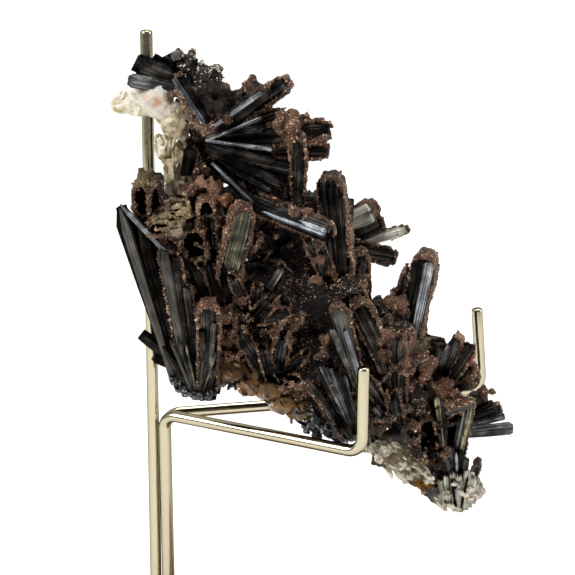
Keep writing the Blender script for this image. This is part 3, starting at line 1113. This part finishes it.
def grains(name, spots, normals, size, rng, material, master):
    """Thousands of druse crystals as one mesh, each turned and shaded its own way."""
    shape = coordinates(master.data)
    master.data.calc_loop_triangles()
    faces = np.array([tuple(t.vertices) for t in master.data.loop_triangles])
    count = len(spots)
    lean = normals + rng.normal(0, 0.45, (count, 3))
    up = lean / np.linalg.norm(lean, axis=1)[:, None]
    other = rng.normal(0, 1, (count, 3))
    side = np.cross(up, other)
    side /= np.linalg.norm(side, axis=1)[:, None]
    deep = np.cross(up, side)
    # Coarse and fine grains come in clumps a millimetre or two across
    clump = np.sin(spots * 2600 + np.array((0.3, 1.7, 2.9))).sum(axis=1) / 3
    scale = size * rng.uniform(0.4, 1.25, count) * (1 + 0.4 * clump)
    spread = scale[:, None] * rng.uniform(0.35, 0.85, (count, 1))
    points = (spots[:, None, :] + shape[None, :, 0, None] * (side * spread)[:, None, :]
              + shape[None, :, 1, None] * (deep * spread)[:, None, :]
              + shape[None, :, 2, None] * (up * scale[:, None])[:, None, :])
    every = faces[None] + (np.arange(count) * len(shape))[:, None, None]
    mesh = bpy.data.meshes.new(name)
    mesh.from_pydata(points.reshape(-1, 3).tolist(), [], every.reshape(-1, 3).tolist())
    tone = rng.uniform(0.12, 0.7, count) + standing_out(spots)
    paint(mesh, np.repeat(spots, len(shape), axis=0), np.repeat(tone, len(shape)))
    mesh.materials.append(material)
    return new_object(name, mesh)


class SPECIMEN_OT_stage(bpy.types.Operator):
    """Set the camera at the photograph's place, the white floor and the softboxes"""
    bl_idname = "specimen.stage"
    bl_label = "Studio"

    def execute(self, context):
        studio = context.scene.studio_settings
        clear_selection()
        target = Vector((0, 0, VIEW_HEIGHT)) * MM
        back = Vector((0, -math.cos(VIEW_PITCH), math.sin(VIEW_PITCH))) * VIEW_DISTANCE * MM
        bpy.ops.object.camera_add(location=target + back, rotation=(math.pi / 2 - VIEW_PITCH, 0, 0))
        camera = context.active_object
        camera.data.sensor_width = SENSOR_WIDTH
        camera.data.lens = VIEW_FOCUS / FRAME_PIXELS * SENSOR_WIDTH
        camera.data.clip_start = 0.01
        context.scene.camera = camera
        context.scene.view_settings.view_transform = "Standard"

        floor = added("plane", size=8)
        floor.name = "studio_floor"
        dress(floor, studio_material())

        softboxes = [
            ("key_softbox", (-1.5, -0.7, 1.3), 1.0, studio.key_power),
            ("top_softbox", (0.2, 0.7, 2.1), 1.3, studio.top_power),
            ("rim_softbox", (1.7, -0.2, 0.9), 0.8, studio.rim_power),
        ]
        for name, place, size, power in softboxes:
            clear_selection()
            aim = (target - Vector(place)).to_track_quat("-Z", "Y").to_euler()
            bpy.ops.object.light_add(type="AREA", location=place, rotation=aim)
            light = context.active_object
            light.name = name
            light.data.size = size
            light.data.energy = power

        world = bpy.data.worlds.new("white_room")
        world.use_nodes = True
        # The room is white behind the specimen and dim behind the photographer
        tree = world.node_tree
        way = add_node(tree, "ShaderNodeTexCoord").outputs["Generated"]
        across, away, up = add_node(tree, "ShaderNodeSeparateXYZ", {"Vector": way}).outputs
        light = add_node(tree, "ShaderNodeMapRange", {
            "Value": away, "From Min": -0.9, "From Max": 0.7, "To Min": studio.front_light,
            "To Max": studio.world_light}, interpolation_type="SMOOTHSTEP")
        background = tree.nodes["Background"]
        background.inputs["Color"].default_value = (1, 1, 1, 1)
        tree.links.new(light.outputs["Result"], background.inputs["Strength"])
        context.scene.world = world
        return {"FINISHED"}


class SPECIMEN_OT_base(bpy.types.Operator):
    """Model the wooden base with its three blind holes"""
    bl_idname = "specimen.base"
    bl_label = "Wooden base"

    def execute(self, context):
        sizes = context.scene.stand_sizes
        low, high = (Vector(corner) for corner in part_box("base_block"))
        extent = high - low
        block = added("cube", size=1)
        block.name = "wooden_base"
        bpy.ops.object.mode_set(mode="EDIT")
        bpy.ops.transform.resize(value=extent)
        bpy.ops.transform.translate(value=(low + high) / 2)
        pick(block, "edges", lambda edge: runs_along(edge, 2))
        bpy.ops.mesh.bevel(offset=sizes.corner_radius, segments=8)
        for level in (low.z, high.z):
            pick(block, "edges", lambda e: all(abs(v.co.z - level) < 1e-6 for v in e.verts))
            bpy.ops.mesh.bevel(offset=sizes.edge_radius, segments=4)
        bpy.ops.object.mode_set(mode="OBJECT")
        # The holes are a little wider and deeper than the wires' feet
        gap = 0.3 * MM
        for node in ("wire_rod", "wire_front_arm", "wire_back_arm"):
            foot = wire_corners()[node][0]
            drill = added("cylinder", vertices=32, radius=sizes.wire_radius + gap, depth=20 * MM,
                          location=foot + Vector((0, 0, 10 * MM - gap)))
            apply_modifier(block, "BOOLEAN", operation="DIFFERENCE", object=drill, solver="EXACT")
            remove([drill])
        select_only([block])
        bpy.ops.object.shade_smooth_by_angle(angle=math.radians(30))
        dress(block, wood_material(sizes.wood_color))
        adopt(block, "wood", "base_block")
        return {"FINISHED"}


def wire_corners():
    """The corners of each wire, from its foot to its end, as the frame's solids have them."""
    sink = 3.3 * MM
    points = {
        "wire_rod": [(-23.4, 1.2, 0), (-22.5, 1.2, 118.5)],
        "wire_front_arm": [
            (-21.05, 0, 0), (-21.05, 0, 53.45), (11.95, -16.95, 53.45), (12.0, -16.95, 68.1)],
        "wire_back_arm": [
            (-21.05, 2.4, 0), (-21.05, 2.4, 52.6), (34.66, 14.36, 52.6), (33.4, 14.36, 67.8)],
    }
    lines = {name: [Vector(point) * MM for point in line] for name, line in points.items()}
    for line in lines.values():
        line[0].z = sink
    return lines


def bend_wire(name, corners, radius, bend):
    """Draw a round wire along its corners: straight runs are extruded and bends are spun."""
    wire = added("circle", vertices=24, radius=radius, fill_type="NGON")
    wire.name = name
    bpy.ops.object.mode_set(mode="EDIT")
    bpy.ops.mesh.select_all(action="SELECT")
    heading = (corners[1] - corners[0]).normalized()
    turn = Vector((0, 0, 1)).rotation_difference(heading).to_matrix().to_4x4()
    bpy.ops.object.mode_set(mode="OBJECT")
    wire.data.transform(Matrix.Translation(corners[0]) @ turn)
    bpy.ops.object.mode_set(mode="EDIT")
    here = corners[0]
    for i in range(1, len(corners) - 1):
        inward = (corners[i] - corners[i - 1]).normalized()
        outward = (corners[i + 1] - corners[i]).normalized()
        bend_start = corners[i] - inward * bend
        bpy.ops.mesh.extrude_region_move(TRANSFORM_OT_translate={"value": bend_start - here})
        angle = inward.angle(outward)
        curve = bend / math.tan(angle / 2)
        hinge = inward.cross(outward).normalized()
        centre = bend_start + hinge.cross(inward) * curve
        bpy.ops.mesh.spin(steps=10, angle=-angle, center=centre, axis=hinge)
        here = corners[i] + outward * bend
    bpy.ops.mesh.extrude_region_move(TRANSFORM_OT_translate={"value": corners[-1] - here})
    bpy.ops.mesh.bevel(offset=radius * 0.45, segments=3)
    bpy.ops.mesh.select_all(action="SELECT")
    bpy.ops.mesh.remove_doubles(threshold=0.001 * MM)
    bpy.ops.mesh.normals_make_consistent(inside=False)
    bpy.ops.object.mode_set(mode="OBJECT")
    bpy.ops.object.shade_smooth_by_angle(angle=math.radians(40))
    return wire


class SPECIMEN_OT_wires(bpy.types.Operator):
    """Bend the three wires of the stand"""
    bl_idname = "specimen.wires"
    bl_label = "Wires"

    def execute(self, context):
        sizes = context.scene.stand_sizes
        material = wire_material(sizes.wire_color)
        for node, corners in wire_corners().items():
            wire = bend_wire(node.replace("wire", "bent"), corners, sizes.wire_radius, sizes.bend_radius)
            dress(wire, material)
            adopt(wire, "wire", node)
        return {"FINISHED"}


class SPECIMEN_OT_blades(bpy.types.Operator):
    """Model the stibnite blades, cluster by cluster"""
    bl_idname = "specimen.blades"
    bl_label = "Stibnite blades"

    def execute(self, context):
        sizes = context.scene.specimen_sizes
        rng = np.random.default_rng(5)
        made = masters([kind for kind in BLADE_KINDS if kind != "small"])
        for cluster, blades in CLUSTERS.items():
            copies = [place_blade(made[spec["end"]][i % VARIANTS], spec, f"{cluster}_{i}", rng)
                      for i, spec in enumerate(blades)]
            piece = join_all(copies, f"{cluster}_crystals")
            apply_modifier(piece, "BEVEL", width=sizes.edge_bevel, segments=1, limit_method="ANGLE",
                           angle_limit=math.radians(25))
            adopt(piece, "stibnite", cluster)
        remove([one for kind in made.values() for one in kind])
        return {"FINISHED"}


class SPECIMEN_OT_rock(bpy.types.Operator):
    """Carve and roughen the rock plate"""
    bl_idname = "specimen.rock"
    bl_label = "Rock"

    def execute(self, context):
        sizes = context.scene.specimen_sizes
        source = bpy.data.objects["matrix_rock"]
        rock = source.copy()
        rock.data = source.data.copy()
        rock.name = "rock_plate"
        context.collection.objects.link(rock)
        select_only([rock])
        bpy.ops.object.mode_set(mode="EDIT")
        bpy.ops.mesh.select_all(action="SELECT")
        bpy.ops.mesh.remove_doubles(threshold=0.001 * MM)
        bpy.ops.object.mode_set(mode="OBJECT")
        for spot, half in HOLLOWS:
            hollow = added("ico_sphere", subdivisions=2, radius=MM)
            hollow.data.transform(Matrix.Translation(seen(*spot)) @ Matrix.Diagonal((*half, 1)))
            apply_modifier(rock, "BOOLEAN", operation="DIFFERENCE", object=hollow, solver="EXACT")
            remove([hollow])
        roughen(rock, sizes.crust_voxel * 1.25, sizes.crust_relief * 2.2, 1.7, 0.56)
        dress(rock, finish("dark_rock"))
        adopt(rock, "crust", "matrix_rock")
        return {"FINISHED"}


def sprout_specs(rock, count):
    """Small blades that grow out of the rock, each with its size and its crust."""
    rng = np.random.default_rng(77)

    def on_the_front(spots, normals):
        # Away from the tip, from the gap at the upper right and from the casts at the upper left
        x, _, z = spots.T / MM
        return ((normals[:, 1] < -0.15) & (normals[:, 2] > -0.25) & (x < 26)
                & ((x < 1) | (z < 66)) & ((x > -12.5) | (z < 80)))

    def on_the_back(spots, normals):
        # Clear of the stand's arms and its rod
        x, _, z = spots.T / MM
        return (normals[:, 1] > 0.5) & (z > 62) & (z < 98) & (x > -10) & (x < 16)

    front = scatter(rock, count, rng, on_the_front)
    behind = scatter(rock, count // 3, rng, on_the_back)
    specs = []
    for spot, normal in zip(*(np.vstack(both) for both in zip(front, behind))):
        lean = Vector((0.2, -0.3 if normal[1] < 0 else 0.3, 0.35))
        way = (Vector(normal) + lean + Vector(rng.normal(0, 0.5, 3))).normalized()
        wide = rng.uniform(0.4, 1.5) * MM
        specs.append({
            "foot": Vector(spot) - way * 0.9 * MM,
            "tip": Vector(spot) + way * rng.uniform(1.4, 4.4) * MM,
            "wide": wide, "thick": wide * rng.uniform(0.45, 0.8), "turn": rng.uniform(-1.2, 1.2),
            "end": "small", "variant": rng.integers(VARIANTS),
            "crust": 0.45 * MM if rng.random() < 0.45 else 0.0, "over": 0.15 * MM,
            "rims": (rng.uniform(0.3, 1), rng.uniform(0.3, 1)), "hollow": False,
            "finish": "bright_stibnite" if rng.random() < 0.25 else "grooved_stibnite",
        })
    return specs


class SPECIMEN_OT_small_blades(bpy.types.Operator):
    """Grow small blades out of the rock"""
    bl_idname = "specimen.small_blades"
    bl_label = "Small blades"

    def execute(self, context):
        rng = np.random.default_rng(6)
        made = masters(["small"])["small"]
        specs = sprout_specs(bpy.data.objects["rock_plate"], context.scene.specimen_sizes.sprouts)
        copies = [place_blade(made[spec["variant"]], spec, f"sprout_{i}", rng)
                  for i, spec in enumerate(specs)]
        adopt(join_all(copies, "small_blades"), "stibnite")
        remove(made)
        return {"FINISHED"}


class SPECIMEN_OT_crust(bpy.types.Operator):
    """Grow the crust round the blades and the open casts"""
    bl_idname = "specimen.crust"
    bl_label = "Crust"

    def execute(self, context):
        sizes = context.scene.specimen_sizes
        specs = [spec for blades in CLUSTERS.values() for spec in blades] + CASTS
        specs += sprout_specs(bpy.data.objects["rock_plate"], sizes.sprouts)
        coated = [spec for spec in specs if spec["crust"] > 0]
        rng = np.random.default_rng(15)
        bar = added("cube", size=1)
        knob = added("ico_sphere", subdivisions=2, radius=1)
        bars = copies_of(bar, [place for spec in coated for place in crust_places(spec, rng)], "bar")
        knob_places = []
        for spot, radius in KNOBS:
            for _ in range(LUMPS_IN_A_KNOB):
                place = seen(*spot) + Vector(rng.normal(0, 0.42, 3)) * radius * MM
                half = [radius * rng.uniform(0.35, 0.75) * MM for _ in range(3)]
                knob_places.append(Matrix.Translation(place) @ Matrix.Diagonal((*half, 1)))
        knobs = copies_of(knob, knob_places, "knob")
        remove([bar, knob])
        # The crust is grown in parts from left to right, so that no part has too many faces
        lumps = sorted(bars + knobs, key=lambda one: coordinates(one.data)[:, 0].mean())
        for name, part in zip(CRUST_PARTS, np.array_split(np.arange(len(lumps)), len(CRUST_PARTS))):
            crust = join_all([lumps[i] for i in part], name)
            roughen(crust, sizes.crust_voxel, sizes.crust_relief, 0.8, 0.55)
            dress(crust, finish("brown_druse"))
            adopt(crust, "crust")

        # The inside of each open cast, black with shadow
        master = blade_master("blunt", 91)
        floor = {"thick": 0.5 * MM, "finish": "cast_floor"}
        floors = [place_blade(master, {**spec, **floor}, f"floor_{i}", rng)
                  for i, spec in enumerate(CASTS)]
        adopt(join_all(floors, "cast_floors"), "crust")
        remove([master])
        return {"FINISHED"}


class SPECIMEN_OT_druse(bpy.types.Operator):
    """Set the druse of small crystals on the crust and in patches on the rock"""
    bl_idname = "specimen.druse"
    bl_label = "Druse"

    def execute(self, context):
        sizes = context.scene.specimen_sizes
        rng = np.random.default_rng(21)
        master = grain_master()

        def patchy(spots, normals):
            # Druse lies in patches of a few millimetres, and wherever the rock is stained
            wave = np.sin(spots * 900).sum(axis=1)
            stained = stain_colours(spots)
            return (stained[:, 3] > 0.1) | (wave + rng.uniform(-2, 2, len(spots)) > 0.2)

        layers = (
            ("crust", CRUST_PARTS, sizes.crust_grains, None, 5),
            ("rock", ("rock_plate",), sizes.rock_grains, patchy, 2),
        )
        for label, grounds, count, keep, parts in layers:
            spots, normals = scatter_over(grounds, count, rng, keep)
            order = np.argsort(spots[:, 0])
            for i, part in enumerate(np.array_split(order, parts)):
                druse = grains(f"{label}_druse_{i + 1}", spots[part], normals[part], sizes.grain_size,
                               rng, finish("brown_druse"), master)
                adopt(druse, "crust")
        # Clear little baryte crystals among the druse, which catch the light
        on_crust = scatter_over(CRUST_PARTS, sizes.glints, rng)
        on_rock = scatter(bpy.data.objects["rock_plate"], sizes.glints, rng)
        # More of them dust the crown, which is black under them
        crown = np.array(seen(194, 66, -4))
        near_crown = scatter_over(CRUST_PARTS, sizes.crown_glints * 30, rng, lambda s, n: (
            np.linalg.norm((s - crown) * (0.7, 1, 1.1), axis=1) < 4 * MM))
        on_crown = [side[:sizes.crown_glints] for side in near_crown]
        spots, normals = (np.vstack(all_three) for all_three in zip(on_crust, on_rock, on_crown))
        glints = grains("clear_grains", spots, normals, sizes.grain_size * 1.1, rng, finish("pale_baryte"),
                        master)
        adopt(glints, "baryte_pale")
        remove([master])
        return {"FINISHED"}


# How many cleavage fragments are modelled, for all the lumps to be made from
FRAGMENTS = 5


def cleaved_fragment(rng):
    """One cleavage fragment: a ball of radius 1 cut by flat planes."""
    lump = added("ico_sphere", subdivisions=2, radius=1)
    bpy.ops.object.mode_set(mode="EDIT")
    for _ in range(16):
        normal = Vector(rng.normal(0, 1, 3)).normalized()
        bpy.ops.mesh.select_all(action="SELECT")
        bpy.ops.mesh.bisect(plane_co=normal * rng.uniform(0.5, 0.78), plane_no=normal,
                            use_fill=True, clear_outer=True)
    bpy.ops.object.mode_set(mode="OBJECT")
    return lump


def fragment_at(master, place, half, rng, name, lean=0.0):
    """A copy of a fragment with its own mesh: turned at random, stretched, leant and placed."""
    copy = new_object(name, master.data.copy())
    axis = Vector(rng.normal(0, 1, 3)).normalized()
    turn = Matrix.Rotation(rng.uniform(0, math.tau), 4, axis)
    stretch = Matrix.Diagonal((*(side * MM for side in half), 1))
    copy.data.transform(Matrix.Translation(place) @ Matrix.Rotation(lean, 4, "Y") @ stretch @ turn)
    return copy


def baryte_lump(cleaved, node, middle, half, chips, earlier, rng):
    """One lump of baryte: a big fragment with smaller chips round it."""
    parts = [fragment_at(cleaved[earlier % FRAGMENTS], middle, half, rng, f"{node}_core")]
    for n in range(earlier + 1, earlier + 1 + chips):
        way = Vector(rng.normal(0, 1, 3)).normalized()
        share, shape, lean = rng.uniform(0.4, 0.75), (1, 1, 1), 0.0
        if node != "baryte_cap":
            # The neck and the foot are splintered along their length
            share, shape = rng.uniform(0.3, 0.65), (0.6, 0.8, 1.25)
            lean = rng.uniform(*((-0.9, 0.5) if node == "baryte_neck" else (-1.4, -0.5)))
        place = middle + Vector(a * b * (1.0 - share) * MM for a, b in zip(way, half))
        chip = [side * share * part * rng.uniform(0.7, 1.2) for side, part in zip(half, shape)]
        parts.append(fragment_at(cleaved[n % FRAGMENTS], place, chip, rng, f"{node}_chip_{n}", lean))
    return parts


def broken_lump(cleaved, name, middle, half, rng):
    """Eight leaning chips that lie within one lump's half sizes."""
    chips = []
    for n in range(8):
        place = middle + Vector(rng.uniform(-0.7, 0.7, 3) * np.array(half)) * MM
        chip = [side * rng.uniform(0.3, 0.85) for side in half]
        lean = math.radians(40 + rng.uniform(-25, 25))
        chips.append(fragment_at(cleaved[n % FRAGMENTS], place, chip, rng, f"{name}_{n}", lean))
    return chips


class SPECIMEN_OT_baryte(bpy.types.Operator):
    """Cleave the baryte crystals of the cap, the neck and the foot"""
    bl_idname = "specimen.baryte"
    bl_label = "Baryte"

    def execute(self, context):
        rng = np.random.default_rng(70)
        chips = context.scene.specimen_sizes.baryte_chips
        cleaved = [cleaved_fragment(rng) for _ in range(FRAGMENTS)]
        looks = {
            "baryte_cap": ("pale_baryte", "baryte_pale", chips),
            "baryte_neck": ("tan_baryte", "baryte_tan", 2 * chips),
            "baryte_foot": ("brown_baryte", "baryte_tan", 2 * chips),
        }
        for node, (look, slot, count) in looks.items():
            parts = []
            for spot, half in BARYTE[node]:
                parts += baryte_lump(cleaved, node, seen(*spot), half, count, len(parts), rng)
            piece = join_all(parts, node.replace("baryte", "cleaved"))
            dress(piece, finish(look))
            adopt(piece, slot, node)
        for name, look, slot, places in (("broken_ridge", "ridge_rock", "baryte_tan", RIDGE),
                                         ("black_underside", "black_glaze", "stibnite", UNDERSIDE)):
            rubble = join_all([chip for spot, half in places
                               for chip in broken_lump(cleaved, name, seen(*spot), half, rng)], name)
            dress(rubble, finish(look))
            adopt(rubble, slot)
        remove(cleaved)
        return {"FINISHED"}


class SPECIMEN_PT_panel(bpy.types.Panel):
    """The specimen's builders and their settings"""
    bl_idname = "SPECIMEN_PT_panel"
    bl_label = "Specimen"
    bl_space_type = "VIEW_3D"
    bl_region_type = "UI"
    bl_category = "Specimen"

    def draw(self, context):
        layout = self.layout
        for operator in OPERATORS:
            layout.operator(operator.bl_idname)
        for group in GROUPS:
            box = layout.box()
            for name in GROUPS[group].__annotations__:
                box.prop(getattr(context.scene, group), name)


OPERATORS = (
    SPECIMEN_OT_stage, SPECIMEN_OT_base, SPECIMEN_OT_wires, SPECIMEN_OT_blades, SPECIMEN_OT_rock,
    SPECIMEN_OT_small_blades, SPECIMEN_OT_crust, SPECIMEN_OT_druse, SPECIMEN_OT_baryte,
)
GROUPS = {
    "stand_sizes": StandSizes, "specimen_sizes": SpecimenSizes, "studio_settings": StudioSettings,
}
CLASSES = (*GROUPS.values(), *OPERATORS, SPECIMEN_PT_panel)


def register():
    for cls in CLASSES:
        bpy.utils.register_class(cls)
    for name, group in GROUPS.items():
        setattr(bpy.types.Scene, name, PointerProperty(type=group))


def unregister():
    for name in GROUPS:
        delattr(bpy.types.Scene, name)
    for cls in reversed(CLASSES):
        bpy.utils.unregister_class(cls)


def main():
    register()
    bpy.ops.specimen.stage()
    bpy.ops.specimen.base()
    bpy.ops.specimen.wires()
    bpy.ops.specimen.blades()
    bpy.ops.specimen.rock()
    bpy.ops.specimen.small_blades()
    bpy.ops.specimen.crust()
    bpy.ops.specimen.druse()
    bpy.ops.specimen.baryte()


if __name__ == "__main__":
    main()
